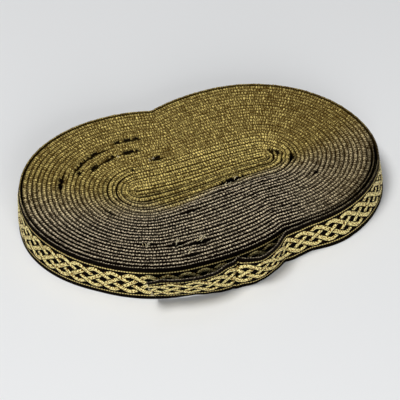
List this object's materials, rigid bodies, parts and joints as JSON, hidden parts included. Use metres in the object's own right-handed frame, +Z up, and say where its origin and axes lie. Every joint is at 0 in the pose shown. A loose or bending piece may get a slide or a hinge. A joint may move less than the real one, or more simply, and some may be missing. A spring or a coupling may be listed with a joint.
{
  "type": "wound roll of polyester ribbon",
  "caption": "Narrow black and gold woven ribbon with a plaited band, wound on edge into a flat two-lobed roll with a loose end at the front.",
  "frame": {"origin": "on the surface under the middle of the whole part's box", "axes": "+X along the roll's long axis, +Y to the back, +Z up, across the ribbon's width"},
  "size_m": [0.122, 0.0896, 0.014],
  "materials": {
    "wound_ribbon": "woven selvedges of metallic gold and black polyester, seen edge on",
    "ribbon_face": "woven black polyester with a raised plaited band of metallic gold thread"
  },
  "bodies": {
    "root": {"wound_roll": "wound_ribbon", "loose_end": "ribbon_face"}
  },
  "joints": []
}
